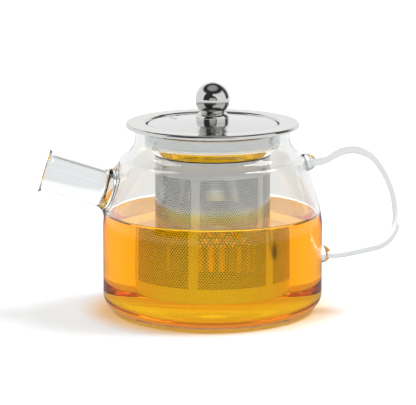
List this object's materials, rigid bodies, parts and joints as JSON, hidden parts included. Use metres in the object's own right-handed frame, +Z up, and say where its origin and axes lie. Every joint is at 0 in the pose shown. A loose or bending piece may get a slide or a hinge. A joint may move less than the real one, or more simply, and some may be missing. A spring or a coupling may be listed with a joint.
{
  "type": "glass teapot",
  "caption": "Clear glass teapot with a straight spout and ear handle, a lift-out perforated steel infuser hung in its neck, and a steel lid with a ball knob.",
  "frame": {"origin": "middle of the flat base, on the surface that the pot stands on", "axes": "+Z up along the pot's axis, spout towards -X, handle towards +X"},
  "size_m": [0.1904, 0.115, 0.1207],
  "materials": {
    "borosilicate_glass": "clear, fire polished",
    "polished_steel": "mirror polished stainless steel",
    "satin_steel": "fine satin stainless steel",
    "perforated_steel": "perforated stainless sheet, satin",
    "turned_steel": "turned stainless steel"
  },
  "bodies": {
    "pot": {"glass_body": "borosilicate_glass", "spout": "borosilicate_glass", "handle": "borosilicate_glass"},
    "infuser": {"infuser_rim": "polished_steel", "infuser_sleeve": "perforated_steel", "infuser_base": "perforated_steel"},
    "lid": {"lid_plate": "satin_steel", "knob_upper_shell": "polished_steel", "knob_lower_shell": "polished_steel", "knob_foot": "polished_steel", "knob_insert": "turned_steel", "knob_washer": "turned_steel", "knob_screw": "turned_steel"}
  },
  "joints": [
    {"name": "infuser_lift", "type": "slide", "parent": "pot", "child": "infuser", "axis": [0, 0, 1], "range_m": [0, 0.095]},
    {"name": "lid_lift", "type": "slide", "parent": "infuser", "child": "lid", "axis": [0, 0, 1], "range_m": [0, 0.05]}
  ]
}
